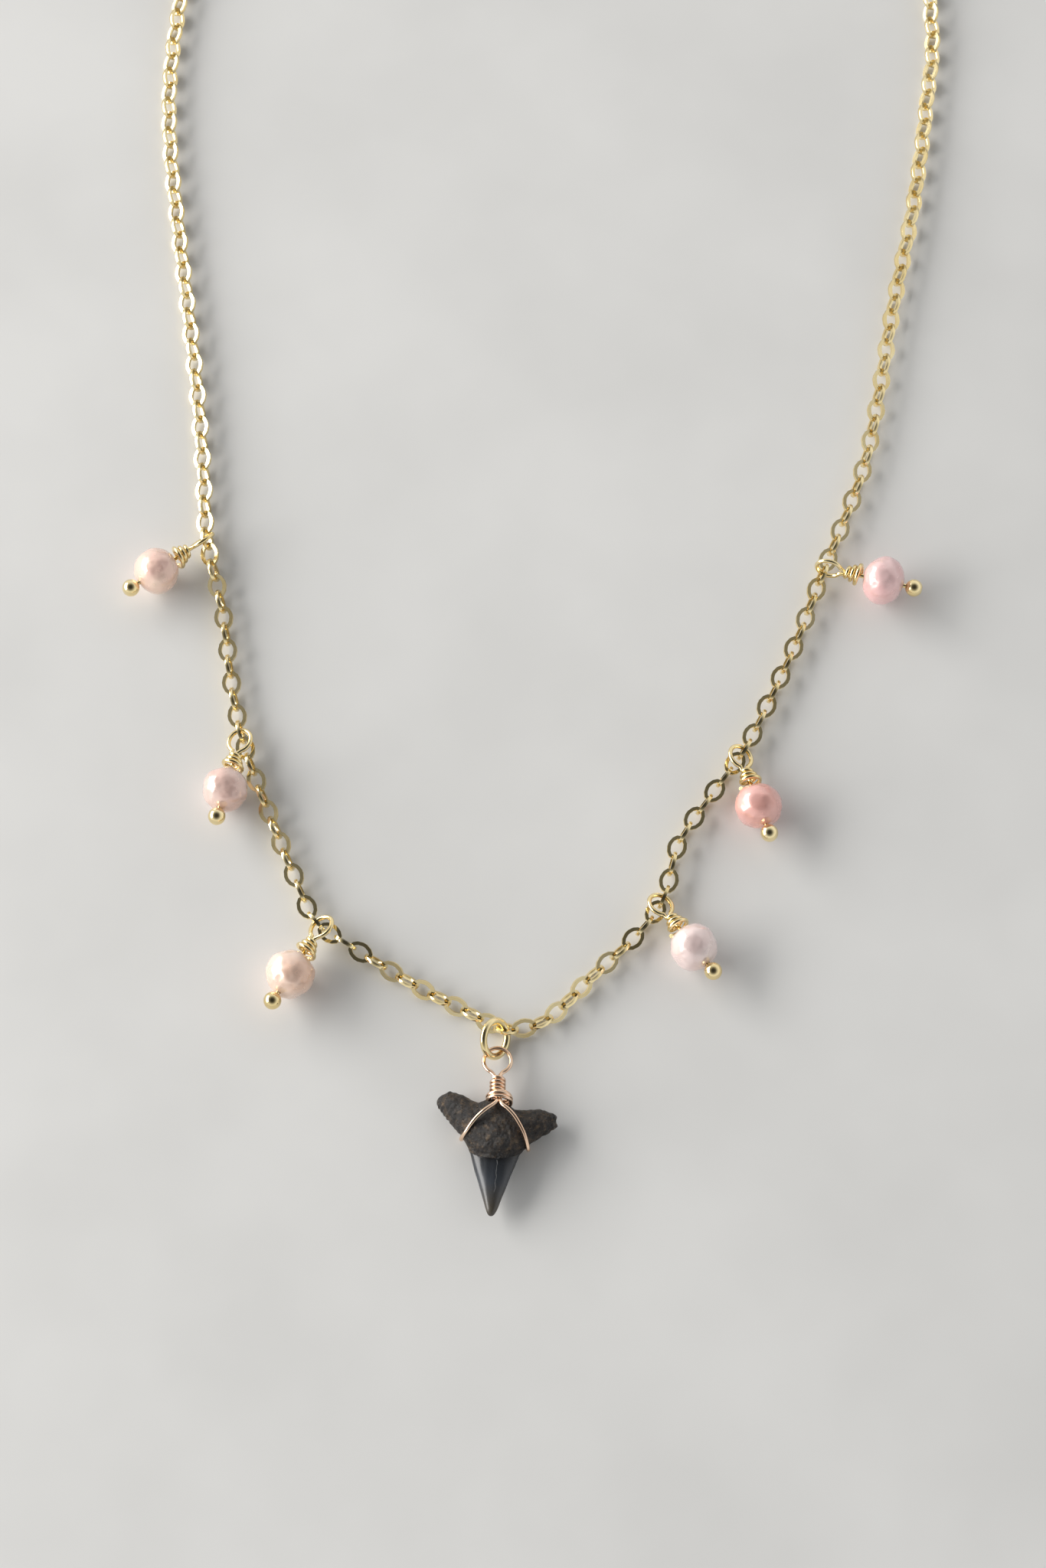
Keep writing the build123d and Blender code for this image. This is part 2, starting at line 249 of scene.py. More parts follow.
def stretched(tree, place, scale):
    node = tree.nodes.new("ShaderNodeMapping")
    node.inputs["Scale"].default_value = scale
    tree.links.new(place, node.inputs["Vector"])
    return node.outputs["Vector"]


def ramp(tree, value, stops):
    node = tree.nodes.new("ShaderNodeValToRGB")
    while len(node.color_ramp.elements) < len(stops):
        node.color_ramp.elements.new(0.5)
    for element, (spot, colour) in zip(node.color_ramp.elements, stops):
        element.position = spot
        element.color = (*colour, 1)
    tree.links.new(value, node.inputs["Fac"])
    return node.outputs["Color"]


# cloudy between two colours
def clouded(tree, place, cloud, deep, pale, spots=(0.35, 0.65)):
    return ramp(tree, noiseNode(tree, place, *cloud), list(zip(spots, (deep, pale))))


def spanned(tree, value, low, high, fromLow=0.3, fromHigh=0.7):
    node = tree.nodes.new("ShaderNodeMapRange")
    node.inputs["From Min"].default_value = fromLow
    node.inputs["From Max"].default_value = fromHigh
    node.inputs["To Min"].default_value = low
    node.inputs["To Max"].default_value = high
    tree.links.new(value, node.inputs["Value"])
    return node.outputs["Result"]


def mixed(tree, share, first, second):
    node = tree.nodes.new("ShaderNodeMix")
    node.data_type = "RGBA"
    tree.links.new(share, node.inputs["Factor"])
    for socket, colour in zip(node.inputs[6:8], (first, second)):
        if isinstance(colour, tuple):
            socket.default_value = (*colour, 1)
        else:
            tree.links.new(colour, socket)
    return node.outputs[2]


def worked(tree, operation, *values):
    node = tree.nodes.new("ShaderNodeMath")
    node.operation = operation
    for socket, value in zip(node.inputs, values):
        if isinstance(value, (int, float)):
            socket.default_value = value
        else:
            tree.links.new(value, socket)
    return node.outputs["Value"]


def bumped(tree, shader, height, strength, depth):
    node = tree.nodes.new("ShaderNodeBump")
    node.inputs["Strength"].default_value = strength
    node.inputs["Distance"].default_value = depth * mm
    tree.links.new(height, node.inputs["Height"])
    tree.links.new(node.outputs["Normal"], shader.inputs["Normal"])


# polished metal with faint clouding, wear in its polish and fine drawing marks
def metalFinish(name, look):
    finish, tree, shader, place = newFinish(name, {"Metallic": 1.0})
    colour = clouded(tree, place, look["cloud"], look["deep"], look["bright"])
    tree.links.new(colour, shader.inputs["Base Color"])
    polish = noiseNode(tree, place, *look["polish"])
    tree.links.new(spanned(tree, polish, *look["roughness"]), shader.inputs["Roughness"])
    bumped(tree, shader, noiseNode(tree, place, *look["marks"]), *look["markRelief"])
    return finish


goldLook = {"bright": (0.97, 0.82, 0.48), "deep": (0.88, 0.70, 0.35), "cloud": (260, 3),
            "polish": (700, 5), "roughness": (0.10, 0.20), "marks": (2600, 2), "markRelief": (0.12, 0.02)}
roseGoldLook = {"bright": (0.93, 0.70, 0.52), "deep": (0.84, 0.57, 0.40), "cloud": (300, 3),
                "polish": (800, 5), "roughness": (0.12, 0.24), "marks": (3000, 2),
                "markRelief": (0.10, 0.02)}
gold = metalFinish("goldWire", goldLook)
roseGold = metalFinish("roseGoldWire", roseGoldLook)


# nacre: soft cloudy colour, a glossy skin and faint dimples
pearlLook = {
    "cloud": (330, 3), "cloudSpots": (0.35, 0.68),
    "skin": (900, 4), "roughness": (0.16, 0.30), "skinRelief": (0.10, 0.03),
    "shader": {"Metallic": 0.25, "Coat Weight": 0.8, "Coat Roughness": 0.05,
               "Thin Film Thickness": 420, "Thin Film IOR": 1.45},
    "tints": {
        1: ((0.93, 0.62, 0.53), (0.98, 0.77, 0.62)),
        2: ((0.84, 0.58, 0.51), (0.91, 0.71, 0.64)),
        3: ((0.92, 0.62, 0.48), (0.98, 0.78, 0.67)),
        4: ((0.94, 0.72, 0.69), (0.98, 0.82, 0.79)),
        5: ((0.92, 0.48, 0.42), (0.94, 0.56, 0.52)),
        6: ((0.96, 0.59, 0.58), (0.98, 0.69, 0.68)),
    },
}


def pearlFinish(number):
    look = pearlLook
    finish, tree, shader, place = newFinish("nacre" + str(number), look["shader"])
    colour = clouded(tree, place, look["cloud"], *look["tints"][number], look["cloudSpots"])
    tree.links.new(colour, shader.inputs["Base Color"])
    skin = noiseNode(tree, place, *look["skin"])
    tree.links.new(spanned(tree, skin, *look["roughness"]), shader.inputs["Roughness"])
    bumped(tree, shader, skin, *look["skinRelief"])
    return finish


print("metal and nacre ready")

# chain: one oval link cut flat on both faces, copied to the place of every link

linkShape = {"length": 2.80, "width": 2.16, "wire": 0.44, "thickness": 0.36, "flat": 0.38,
             "sides": 6, "steps": 14, "smoothAngle": 80,
             # each end is pulled out in two rounds: how narrow a round is, and its share of the way
             "pulls": [(1.2, 0.4), (0.4, 0.6)],
             "samePoint": 1e-7}


def makeLink():
    shape = linkShape
    wire = shape["wire"]
    corner = pi / shape["sides"]
    radius = (shape["width"] - wire) / 2
    link = startRing(wire, radius, shape["sides"], corner)
    bpy.ops.transform.resize(value=(1, 1, shape["thickness"] / (wire * cos(corner))))
    pickPoints(link, lambda spot: abs(spot.z) > wire / 4)  # the four corners of the two flats
    bpy.ops.transform.resize(value=(2 * shape["flat"] / wire, 1, 1), center_override=(radius, 0, 0))
    spinRing(shape["steps"])
    stretch = (shape["length"] - shape["width"]) / 2
    for side in (-1, 1):
        for slope, share in shape["pulls"]:
            pickPoints(link, lambda spot: spot.x * side > abs(spot.y) * slope)
            bpy.ops.transform.translate(value=(side * stretch * share, 0, 0))
    mergeAndFaceOut(link)
    smooth(link, shape["smoothAngle"])
    return link


# the solids of the chain's node, one object each
def loosePieces(node):
    editAll(copyOf(node))
    bpy.ops.mesh.remove_doubles(threshold=linkShape["samePoint"])
    bpy.ops.mesh.separate(type="LOOSE")
    leaveEdit()
    return list(bpy.context.selected_objects)


def buildChain():
    link = makeLink()
    copies = []
    for guide in loosePieces("chain"):
        middle, axes = spreadOf(guide.data)
        copy = addObject("chainLink", link.data.copy())
        putAt(copy, placeFrom(middle, axes[0], axes[1]))
        copies.append(copy)
        bpy.data.objects.remove(guide)
    bpy.data.objects.remove(link)
    return joinPieces(copies, "cableChain"), len(copies)


cableChain, linkCount = buildChain()
dress(cableChain, gold, "chain")
print("chain made,", linkCount, "links")

# clasp: the plain closed bar, its edges rounded

claspShape = {"edge": 0.10, "edgeSteps": 3, "edgeAngle": 50,  # sharper edges than this are rounded
              "flatAngle": 1, "samePoint": 0.0005, "smoothAngle": 30}


def buildClasp():
    shape = claspShape
    bar = copyOf("clasp")
    bar.name = "claspBar"
    bar.data.transform(Matrix.Scale(1 / mm, 4))
    mergeAndFaceOut(bar, shape["samePoint"])
    editAll(bar)
    bpy.ops.mesh.dissolve_limited(angle_limit=radians(shape["flatAngle"]))
    leaveEdit()
    applyModifier(bar, "BEVEL", width=shape["edge"], segments=shape["edgeSteps"],
                  limit_method="ANGLE", angle_limit=radians(shape["edgeAngle"]))
    smooth(bar, shape["smoothAngle"])
    bar.data.transform(Matrix.Scale(mm, 4))
    return bar


claspBar = buildClasp()
dress(claspBar, gold, "clasp")
print("clasp made")

# jump ring: a round wire ring

ringShape = {"width": 4.56, "wire": 0.76, "sides": 16, "steps": 64}


def buildJumpRing():
    shape = ringShape
    ring = startRing(shape["wire"], (shape["width"] - shape["wire"]) / 2, shape["sides"])
    ring.name = "jumpRing"
    spinRing(shape["steps"])
    mergeAndFaceOut(ring)
    smooth(ring)
    middle, axes = spreadOf(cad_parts["jump_ring"].data)
    putAt(ring, placeFrom(middle, axes[0], axes[1]))
    return ring


jumpRing = buildJumpRing()
dress(jumpRing, gold, "jump_ring")
print("jump ring made")

# pearls and ball head pins

pinShape = {"wire": 0.48, "loopWidth": 3.20, "loopSqueeze": 0.92, "loopOpening": 24, "loopSteps": 32,
            "neck": 1.62, "stemEnds": (0.5, 0.12),  # straight wire below the neck
            "coilTurns": 2.9, "coilRadii": (0.48, 1.20), "coilFlare": 1.2, "coilGap": 0.03,
            "turnSteps": 24, "pearlStart": 3.78,
            "ballWidth": 1.90, "ballGap": 0.10, "ballSides": (28, 18),
            "tipFrom": 0.47, "tipWiden": 1.15}  # the ball's tip is a little flattened
pearlShape = {"segments": 64, "rings": 44, "bore": 0.35, "turn": 67,
              "uneven": 0.42, "unevenSize": 2.6, "dimpleSize": 1.1,
              "dimples": {1: 0.20, 2: 0.26, 3: 0.24, 4: 0.12, 5: 0.16, 6: 0.14},
              "level": 0.55, "drift": (7.3, 3.1, 0)}  # each pearl takes another part of the grain


# place of a drop, from its pin and its pearl: x to the pearl, z through the loop
def dropPlace(number):
    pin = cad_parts["pin_" + str(number)].data
    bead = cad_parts["pearl_" + str(number)].data
    beadMiddle = spreadOf(bead)[0]
    along = spreadOf(pin)[1][0]
    reach = (pointsOf(pin) - beadMiddle) @ along
    if reach.max() > -reach.min():
        along = -along
        reach = -reach
    loopWidth = pinShape["loopWidth"] * mm
    loopMiddle = beadMiddle + along * (reach.min() + loopWidth / 2)
    limit = reach.min() + loopShare * loopWidth
    through = throughLoop(pin, lambda spots: (spots - beadMiddle) @ along < limit)
    place = placeFrom(loopMiddle, along, np.cross(through, along))
    around = pointsOf(bead) - beadMiddle
    forward = around @ along
    width = 2 * np.linalg.norm(around - np.outer(forward, along), axis=1).max() / mm
    centre = (beadMiddle - loopMiddle) @ along / mm
    return place, centre, width


# the wire comes up from the ball, makes the loop, and winds back down to the pearl
def pinPath(ballStart):
    shape = pinShape
    radius = (shape["loopWidth"] - shape["wire"]) / 2
    opening = radians(shape["loopOpening"])
    path = [(ballStart, 0, 0)] + [(shape["neck"] + below, 0, 0) for below in shape["stemEnds"]]
    for k in range(shape["loopSteps"] + 1):
        turn = opening + (tau - 2 * opening) * k / shape["loopSteps"]
        path.append((radius * cos(turn), radius * sin(turn) * shape["loopSqueeze"], 0))
    coilSteps = int(shape["coilTurns"] * shape["turnSteps"])
    start = shape["neck"] + shape["wire"] / 2
    end = shape["pearlStart"] - shape["wire"] / 2 - shape["coilGap"]
    for k in range(coilSteps + 1):
        turn = pi - tau * k / shape["turnSteps"]
        share = k / coilSteps
        out = between(*shape["coilRadii"], share ** shape["coilFlare"])
        path.append((between(start, end, share), out * cos(turn), out * sin(turn)))
    return path


def makeBall(middle):
    shape = pinShape
    clearSelection()
    segments, rings = shape["ballSides"]
    bpy.ops.mesh.primitive_uv_sphere_add(segments=segments, ring_count=rings,
                                         radius=shape["ballWidth"] / 2, rotation=(0, pi / 2, 0))
    ball = bpy.context.object
    bakePlace(ball)
    editAll(ball)
    flat = shape["ballWidth"] * shape["tipFrom"]
    pickPoints(ball, lambda spot: spot.x > flat)
    bpy.ops.transform.resize(value=(0, shape["tipWiden"], shape["tipWiden"]),
                             center_override=(flat, 0, 0))
    bpy.ops.mesh.select_all(action="SELECT")
    bpy.ops.transform.translate(value=(middle, 0, 0))
    leaveEdit()
    smooth(ball)
    return ball


# the skin of a pearl is moved in and out by two grains, a wide one and one of dimples
def unevenPearl(pearl, number):
    shape = pearlShape
    drift = addObject("pearlDrift" + str(number), None)
    drift.location = [number * step for step in shape["drift"]]
    bpy.context.view_layer.update()
    grains = ((shape["unevenSize"], shape["uneven"]), (shape["dimpleSize"], shape["dimples"][number]))
    for size, depth in grains:
        grain = bpy.data.textures.new("pearlGrain" + str(number), "CLOUDS")
        grain.noise_scale = size
        applyModifier(pearl, "DISPLACE", texture=grain, strength=depth, mid_level=shape["level"],
                      texture_coords="OBJECT", texture_coords_object=drift)
    bpy.data.objects.remove(drift)


def makePearl(number, centre, length, width):
    shape = pearlShape
    clearSelection()
    bpy.ops.mesh.primitive_uv_sphere_add(segments=shape["segments"], ring_count=shape["rings"], radius=0.5,
                                         rotation=(radians(shape["turn"] * number), pi / 2, 0))
    pearl = bpy.context.object
    bakePlace(pearl)
    pearl.name = "pearl" + str(number)
    editAll(pearl)
    bpy.ops.transform.resize(value=(length, width, width))
    leaveEdit()
    unevenPearl(pearl, number)
    editAll(pearl)
    pickPoints(pearl, lambda spot: Vector((spot.y, spot.z)).length < shape["bore"] / 2)
    bpy.ops.mesh.delete(type="VERT")
    bpy.ops.mesh.select_all(action="DESELECT")
    bpy.ops.mesh.select_mode(type="EDGE")
    bpy.ops.mesh.select_non_manifold(extend=False, use_wire=False, use_multi_face=False,
                                     use_non_contiguous=False, use_verts=False)
    bpy.ops.mesh.bridge_edge_loops()
    bpy.ops.mesh.select_all(action="SELECT")
    bpy.ops.transform.translate(value=(centre, 0, 0))
    leaveEdit()
    mergeAndFaceOut(pearl)
    smooth(pearl)
    return pearl


def buildDrop(number):
    place, centre, width = dropPlace(number)
    length = 2 * (centre - pinShape["pearlStart"])
    pearl = makePearl(number, centre, length, width)
    ballMiddle = centre + length / 2 + pinShape["ballGap"] + pinShape["ballWidth"] / 2
    wire = bendWire("pinWire", pinPath(ballMiddle), pinShape["wire"])
    smooth(wire)
    pin = joinPieces([wire, makeBall(ballMiddle)], "pin" + str(number))
    putAt(pearl, place)
    putAt(pin, place)
    dress(pearl, pearlFinish(number), "pearl_" + str(number))
    dress(pin, gold, "pin_" + str(number))
    print("drop", number, "made, pearl", round(length, 2), "by", round(width, 2), "mm")


for number in range(1, 7):
    buildDrop(number)

# tooth: root and crown lofted through rings, fused and carved

toothShape = {
    "lean": -1.0, "leftReach": 5.79, "tipReach": 6.86,  # degrees, then millimetres in the frame
    "ringSides": 36, "ringRounding": 2, "voxel": 0.1, "softening": (0.5, 4),
    # across, lower edge, upper edge, thickness
    "root": [
        (-5.84, 4.95, 5.60, 0.5), (-5.55, 4.60, 5.98, 1.15), (-5.10, 3.98, 6.28, 1.75),
        (-4.50, 3.15, 6.40, 2.15), (-3.90, 2.32, 6.30, 2.35), (-3.20, 1.55, 6.00, 2.55),
        (-2.60, 0.55, 5.68, 2.80), (-1.80, -0.45, 5.25, 3.05), (-0.80, -1.05, 4.95, 3.25),
        (0.60, -1.20, 4.85, 3.40), (1.60, -1.05, 4.62, 3.25), (2.40, -0.70, 4.42, 2.95),
        (3.10, -0.05, 4.42, 2.65), (3.90, 0.80, 4.55, 2.45), (4.70, 1.45, 4.68, 2.25),
        (5.40, 1.98, 4.52, 2.00), (6.00, 2.38, 4.36, 1.75), (6.40, 2.75, 4.28, 1.50),
        (6.58, 3.00, 4.15, 1.20), (6.66, 3.25, 3.95, 0.70),
    ],
    # along, left edge, right edge, thickness
    "crown": [
        (1.20, -2.80, 3.15, 2.50), (0.40, -2.50, 3.20, 2.50), (-0.50, -2.24, 2.84, 2.50),
        (-1.30, -2.04, 2.56, 2.42), (-2.20, -1.80, 2.16, 2.28), (-3.20, -1.46, 1.78, 2.05),
        (-4.20, -1.16, 1.42, 1.82), (-5.00, -0.91, 1.12, 1.58), (-5.70, -0.70, 0.86, 1.30),
        (-6.30, -0.52, 0.62, 1.00), (-6.70, -0.36, 0.36, 0.68), (-6.88, -0.20, 0.16, 0.36),
    ],
    "crownThickness": 2.5, "crownBackLift": 0.3,
    # lower edge of the root where it lies on the crown
    "lip": [(-3.05, -9.0), (-3.00, 0.75), (-2.37, -0.10), (-1.81, -0.62), (-1.08, -0.92), (-0.16, -1.09),
            (0.75, -1.07), (1.65, -0.96), (2.38, -0.67), (2.92, -0.28), (3.30, 0.10), (3.35, -9.0)],
}
toothSkin = {
    "lipWidth": 0.16, "crownReach": 6.2,
    "lump": 0.13, "lumpScale": 0.75, "fibre": 0.06, "fibreScale": (2.9, 2.0, 2.4),
    "pit": 0.11, "pitScale": 2.3, "pitReach": 0.36,
    # growth rings on the left lobe: height, width, their middle, and where they start
    "ring": 0.04, "ringWidth": 0.42, "ringMiddle": (-2.2, 3.2, 1.0), "ringsFrom": (3.4, 1.2),
    # the right lobe is worn and ragged
    "ragged": 0.22, "raggedScale": 1.9, "raggedFrom": (4.6, 1.5),
    "flute": 0.035, "fluteScale": (1.6, 0.25), "fluteLayer": 3.0,
    # the root bulges up to the wire's coil: middle, half width, how far, then where it starts
    "shoulder": (0.35, 1.9, 0.75), "shoulderUp": (2.2, 1.6), "shoulderFront": (1.2, 1.2),
}


def loft(name, rings, turn):
    clearSelection()
    spot, half = rings[0]
    bpy.ops.mesh.primitive_circle_add(vertices=toothShape["ringSides"], radius=1, fill_type="NGON",
                                      location=spot, rotation=turn)
    piece = bpy.context.object
    piece.name = name
    bakePlace(piece)
    editAll(piece)
    bpy.ops.transform.resize(value=half, center_override=spot)
    for (before, beforeHalf), (after, afterHalf) in zip(rings, rings[1:]):
        step = Vector(after) - Vector(before)
        bpy.ops.mesh.extrude_region_move(TRANSFORM_OT_translate={"value": step})
        ratio = [b / a for a, b in zip(beforeHalf, afterHalf)]
        bpy.ops.transform.resize(value=ratio, center_override=after)
    leaveEdit()
    mergeAndFaceOut(piece)
    rounding = toothShape["ringRounding"]
    applyModifier(piece, "SUBSURF", levels=rounding, render_levels=rounding)
    return piece


def rootRelief(spot):
    skin = toothSkin
    lump = noise.noise(spot * skin["lumpScale"]) * skin["lump"]
    grain = Vector([size * scale for size, scale in zip(spot, skin["fibreScale"])])
    fibre = noise.noise(grain) * skin["fibre"]
    cell = noise.voronoi(spot * skin["pitScale"])[0][0]
    pit = -max(0.0, skin["pitReach"] - cell) * skin["pit"] / skin["pitReach"]
    away = (spot - Vector(skin["ringMiddle"])).length
    groove = sin(away * tau / skin["ringWidth"]) * skin["ring"] * eased(-spot.x, *skin["ringsFrom"])
    worn = noise.noise(spot * skin["raggedScale"]) * skin["ragged"]
    return lump + fibre + pit + groove + eased(spot.x, *skin["raggedFrom"]) * worn


def crownRelief(spot):
    across, along = toothSkin["fluteScale"]
    flute = noise.noise(Vector((spot.x * across, spot.y * along, toothSkin["fluteLayer"])))
    return flute * toothSkin["flute"]


def sculptTooth(tooth):
    skin = toothSkin
    mesh = tooth.data
    points = pointsOf(mesh)
    lip = np.interp(points[:, 0], *zip(*toothShape["lip"]))
    crownShare = np.clip((lip - points[:, 1]) / skin["lipWidth"] + 0.5, 0, 1)
    tipShare = np.clip((lip - points[:, 1]) / skin["crownReach"], 0, 1)
    normals = [vert.normal.copy() for vert in mesh.vertices]
    middle, half, push = skin["shoulder"]
    for vert, normal, crown in zip(mesh.vertices, normals, crownShare):
        spot = vert.co.copy()
        near = max(0.0, 1 - ((spot.x - middle) / half) ** 2)
        up = eased(spot.y, *skin["shoulderUp"]) * eased(spot.z, *skin["shoulderFront"])
        spot.y += push * near * up
        vert.co = spot + normal * between(rootRelief(spot), crownRelief(spot), crown)
    for title, values in (("crownShare", crownShare), ("tipShare", tipShare)):
        layer = mesh.attributes.new(title, "FLOAT", "POINT")
        layer.data.foreach_set("value", values)


def buildTooth():
    shape = toothShape
    rootRings = [((x, (low + high) / 2, thick / 2), (1, (high - low) / 2, thick / 2))
                 for x, low, high, thick in shape["root"]]
    root = loft("toothRoot", rootRings, (0, pi / 2, 0))
    crownRings = []
    for y, left, right, thick in shape["crown"]:
        back = (shape["crownThickness"] - thick) * shape["crownBackLift"]
        crownRings.append((((left + right) / 2, y, back + thick / 2), ((right - left) / 2, 1, thick / 2)))
    crown = loft("toothCrown", crownRings, (pi / 2, 0, 0))
    tooth = joinPieces([root, crown], "sharkTooth")
    applyModifier(tooth, "REMESH", mode="VOXEL", voxel_size=shape["voxel"])
    factor, rounds = shape["softening"]
    applyModifier(tooth, "SMOOTH", factor=factor, iterations=rounds)
    sculptTooth(tooth)
    only(tooth)
    bpy.ops.object.shade_smooth()
    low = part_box("tooth")[0]
    place = Matrix.Rotation(radians(shape["lean"]), 4, "Z")
    place.translation = (low.x + shape["leftReach"] * mm, low.y + shape["tipReach"] * mm, low.z)
    putAt(tooth, place)
    return tooth, place


toothLook = {
    # the root's colour is random mottling, and its pale flecks are also painted highlights
    "grain": (1300, 9, 0.72),
    "root": [(0.41, (0.002, 0.001, 0.001)), (0.53, (0.017, 0.010, 0.005)), (0.66, (0.130, 0.085, 0.045))],
    # from the root's edge to the tip
    "enamel": [(0.0, (0.006, 0.006, 0.007)), (0.10, (0.022, 0.025, 0.030)), (0.40, (0.042, 0.048, 0.058)),
               (0.86, (0.070, 0.060, 0.045)), (0.97, (0.024, 0.014, 0.009))],
    "border": (0.42, 0.58),
    "rootGloss": (1700, 6), "rootRoughness": (0.16, 0.50),
    "crownGloss": (700, 4), "crownStretch": (3, 0.4, 3), "crownRoughness": (0.22, 0.34),
    "coat": 0.25, "shader": {"Coat Roughness": 0.20},
    "pore": (3400, 8, 0.7), "poreRelief": (1.0, 0.16),
    # hairline crack down the crown, drawn as a pale line that is a painted highlight: half width, then
    # along and across in millimetres on the tooth
    "crackHighlightHalf": 0.022, "crackHighlightColour": (0.22, 0.22, 0.22),
    "crackHighlightEnds": (-4.6, -1.3), "crackHighlightMiddle": -3.0, "crackHighlightAt": 0.38, "crackHighlightLean": 0.09,
    "crackHighlightNoise": (0.8, 3), "crackHighlightWander": (-0.18, 0.18), "crackHighlightFront": 1.0,
}


# share of the thin pale line down the crown, a crack with a painted highlight along it, from places
# measured on the tooth
def crackHighlightShare(tree, place, toothPlace):
    look = toothLook
    onTooth = tree.nodes.new("ShaderNodeMapping")
    onTooth.vector_type = "TEXTURE"
    onTooth.inputs["Location"].default_value = toothPlace.translation
    onTooth.inputs["Rotation"].default_value = toothPlace.to_euler()
    onTooth.inputs["Scale"].default_value = (mm, mm, mm)
    tree.links.new(place, onTooth.inputs["Vector"])
    spot = onTooth.outputs["Vector"]
    split = tree.nodes.new("ShaderNodeSeparateXYZ")
    tree.links.new(spot, split.inputs[0])
    across, along, up = split.outputs
    low, high = look["crackHighlightEnds"]
    fromMiddle = worked(tree, "SUBTRACT", along, look["crackHighlightMiddle"])
    line = worked(tree, "MULTIPLY_ADD", fromMiddle, look["crackHighlightLean"], look["crackHighlightAt"])
    wander = spanned(tree, noiseNode(tree, spot, *look["crackHighlightNoise"]), *look["crackHighlightWander"])
    away = worked(tree, "SUBTRACT", worked(tree, "SUBTRACT", across, line), wander)
    share = worked(tree, "LESS_THAN", worked(tree, "ABSOLUTE", away), look["crackHighlightHalf"])
    for limit in (worked(tree, "GREATER_THAN", along, low), worked(tree, "LESS_THAN", along, high),
                  worked(tree, "GREATER_THAN", up, look["crackHighlightFront"])):
        share = worked(tree, "MULTIPLY", share, limit)
    return share


def shareOnPoints(tree, title):
    node = tree.nodes.new("ShaderNodeAttribute")
    node.attribute_name = title
    return node.outputs["Fac"]


def toothFinish(toothPlace):
    look = toothLook
    finish, tree, shader, place = newFinish("toothEnamelAndRoot", look["shader"])
    crown = spanned(tree, shareOnPoints(tree, "crownShare"), 0, 1, *look["border"])
    # random mottling on the root, its pale flecks also painted highlights
    root = ramp(tree, noiseNode(tree, place, *look["grain"]), look["root"])
    enamel = ramp(tree, shareOnPoints(tree, "tipShare"), look["enamel"])
    # the crack's pale line on the enamel is a painted highlight
    enamel = mixed(tree, crackHighlightShare(tree, place, toothPlace), enamel, look["crackHighlightColour"])
    tree.links.new(mixed(tree, crown, root, enamel), shader.inputs["Base Color"])
    rootGloss = spanned(tree, noiseNode(tree, place, *look["rootGloss"]), *look["rootRoughness"])
    alongCrown = stretched(tree, place, look["crownStretch"])
    crownGloss = spanned(tree, noiseNode(tree, alongCrown, *look["crownGloss"]), *look["crownRoughness"])
    tree.links.new(mixed(tree, crown, rootGloss, crownGloss), shader.inputs["Roughness"])
    tree.links.new(spanned(tree, crown, 0, look["coat"], 0, 1), shader.inputs["Coat Weight"])
    pores = noiseNode(tree, place, *look["pore"])
    relief = worked(tree, "MULTIPLY", pores, spanned(tree, crown, 1, 0, 0, 1))
    bumped(tree, shader, relief, *look["poreRelief"])
    return finish


sharkTooth, toothPlace = buildTooth()
dress(sharkTooth, toothFinish(toothPlace), "tooth")
print("tooth made,", len(sharkTooth.data.vertices), "points")

# tooth wire: loop, narrow and wide coils, and the legs that hold the tooth

wireShape = {
    "wire": 0.42, "loopWidth": 3.30, "loopOpening": 25, "loopStretch": 1.12, "loopSteps": 36,
    "narrowStart": 2.02, "narrowRadius": 0.66, "narrowTurns": 4, "narrowAside": 0.08,
    "wideStart": 3.78, "wideRadius": 1.24, "wideTurns": 3, "wideAside": 0.28,
    "coilEnd": 5.22, "coilFrom": 60, "widening": 0.4, "turnSteps": 24,
    # the loop's two wires run together: beyond the narrow coil's start, aside and up
    "stemIn": [(0.3, -0.22, 0), (-0.12, -0.25, 0), (-0.38, -0.36, 0)],
    "stemOut": [(-0.38, 0.36, 0.02), (-0.08, 0.28, 0.12)],
    "endInset": 0.3, "legStarts": (0.10, 0.35), "legRise": 0.9, "legSteps": 8,
    # on the tooth in millimetres: over the left shoulder, behind, over the right and back
    "legs": [(0.30, 4.70, 3.32), (-0.72, 3.85, 3.58), (-1.52, 3.17, 3.40), (-2.24, 2.34, 3.10),
             (-2.80, 1.62, 2.52), (-3.22, 1.24, 1.55), (-3.16, 1.45, 0.60), (-2.60, 2.00, -0.30),
             (3.00, 1.20, -0.30), (3.68, 0.50, 0.60), (3.74, 0.22, 1.45), (3.55, 0.86, 2.24),
             (3.25, 1.62, 2.86), (2.74, 2.50, 3.28), (2.22, 3.26, 3.48), (1.57, 3.94, 3.60),
             (0.90, 4.52, 3.45)],
}


def wirePlace():
    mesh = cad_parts["tooth_wire"].data
    points = pointsOf(mesh)
    loopWidth = wireShape["loopWidth"] * mm
    limit = points[:, 1].max() - loopShare * loopWidth
    through = throughLoop(mesh, lambda spots: spots[:, 1] > limit)
    side = np.array(Matrix.Rotation(radians(toothShape["lean"]), 3, "Z") @ Vector((1, 0, 0)))
    along = np.cross(side, through)
    along = along / np.linalg.norm(along)
    loop = points[points[:, 1] > limit]
    reach = loop @ along
    across = loop @ side
    height = loop @ through
    middle = (along * (reach.min() + loopWidth / 2) + side * (across.min() + across.max()) / 2
              + through * (height.min() + height.max()) / 2)
    return placeFrom(middle, along, side)


